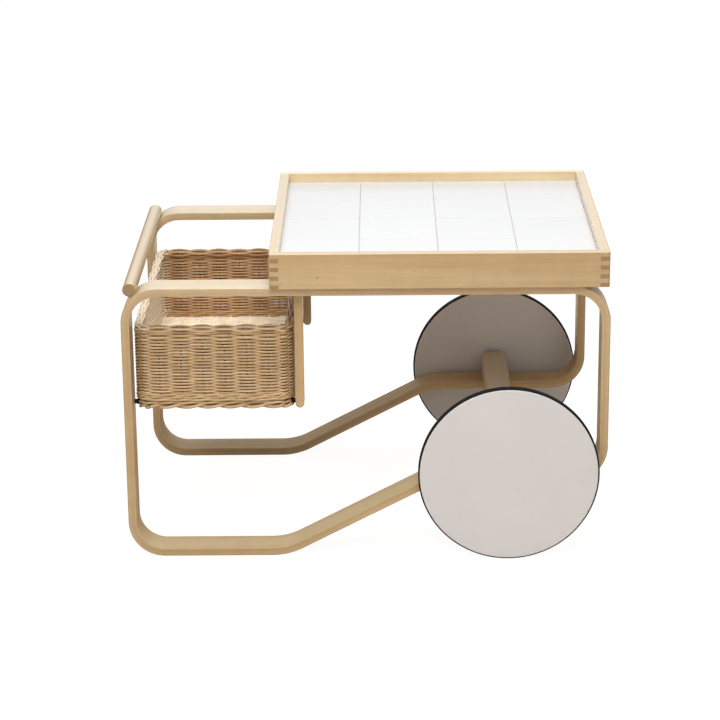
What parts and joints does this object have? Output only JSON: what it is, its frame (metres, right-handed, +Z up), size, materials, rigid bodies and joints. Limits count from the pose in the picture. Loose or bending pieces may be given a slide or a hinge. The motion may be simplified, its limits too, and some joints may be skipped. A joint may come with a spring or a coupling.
{
  "type": "tea trolley",
  "caption": "Tea trolley: bent birch loop frames on large disc wheels carry a finger-jointed tray of white tiles, a wicker basket and a round handle.",
  "frame": {"origin": "on the floor, under the middle of the trolley's box", "axes": "+X from the handle to the wheels, +Y from the near side to the far side, +Z up"},
  "size_m": [0.894, 0.65, 0.59],
  "materials": {
    "frame_birch": "bent laminated birch under clear satin lacquer, with ply lines on its edges",
    "birch": "solid birch under clear satin lacquer",
    "wicker": "woven peeled willow, dry and lightly polished",
    "tile_glaze": "gloss white glaze",
    "grout": "matt brown-grey grout",
    "wheel_paint": "satin warm grey paint on a turned board",
    "tyre_rubber": "matt black",
    "bush_brass": "turned",
    "axle_steel": "turned",
    "screw_steel": "zinc plated",
    "spacer_black": "matt black"
  },
  "bodies": {
    "trolley": {"side_frame_near": "frame_birch", "wheel_bend_near": "frame_birch", "tray_batten_near": "birch", "basket_post_near": "birch", "axle_washer_near": "axle_steel", "retaining_ring_near": "screw_steel", "side_frame_far": "frame_birch", "wheel_bend_far": "frame_birch", "tray_batten_far": "birch", "basket_post_far": "birch", "axle_washer_far": "axle_steel", "retaining_ring_far": "screw_steel", "handle_screws": "screw_steel", "batten_screws": "screw_steel", "post_screws": "screw_steel", "beam_screws": "screw_steel", "basket_screws": "screw_steel", "tray_front_board": "birch", "tray_rear_board": "birch", "tray_left_board": "birch", "tray_right_board": "birch", "handle_bar": "birch", "tray_panel": "birch", "axle_beam": "birch", "axle": "axle_steel", "tile_1_1": "tile_glaze", "tile_1_2": "tile_glaze", "tile_1_3": "tile_glaze", "tile_1_4": "tile_glaze", "tile_2_1": "tile_glaze", "tile_2_2": "tile_glaze", "tile_2_3": "tile_glaze", "tile_2_4": "tile_glaze", "tile_3_1": "tile_glaze", "tile_3_2": "tile_glaze", "tile_3_3": "tile_glaze", "tile_3_4": "tile_glaze", "tile_4_1": "tile_glaze", "tile_4_2": "tile_glaze", "tile_4_3": "tile_glaze", "tile_4_4": "tile_glaze", "tile_grout": "grout", "basket_walls": "wicker", "basket_rim": "wicker", "basket_border": "wicker", "basket_floor": "wicker", "basket_spacers": "spacer_black"},
    "wheel_near": {"wheel_disc_near": "wheel_paint", "tyre_near": "tyre_rubber", "hub_bush_near": "bush_brass", "bush_screws_near": "screw_steel"},
    "wheel_far": {"wheel_disc_far": "wheel_paint", "tyre_far": "tyre_rubber", "hub_bush_far": "bush_brass", "bush_screws_far": "screw_steel"}
  },
  "joints": [
    {"name": "wheel_near_spin", "type": "hinge", "parent": "trolley", "child": "wheel_near", "pos_m": [0.263, -0.316, 0.168], "axis": [0, 1, 0], "continuous": true},
    {"name": "wheel_far_spin", "type": "hinge", "parent": "trolley", "child": "wheel_far", "pos_m": [0.263, 0.316, 0.168], "axis": [0, 1, 0], "continuous": true}
  ]
}
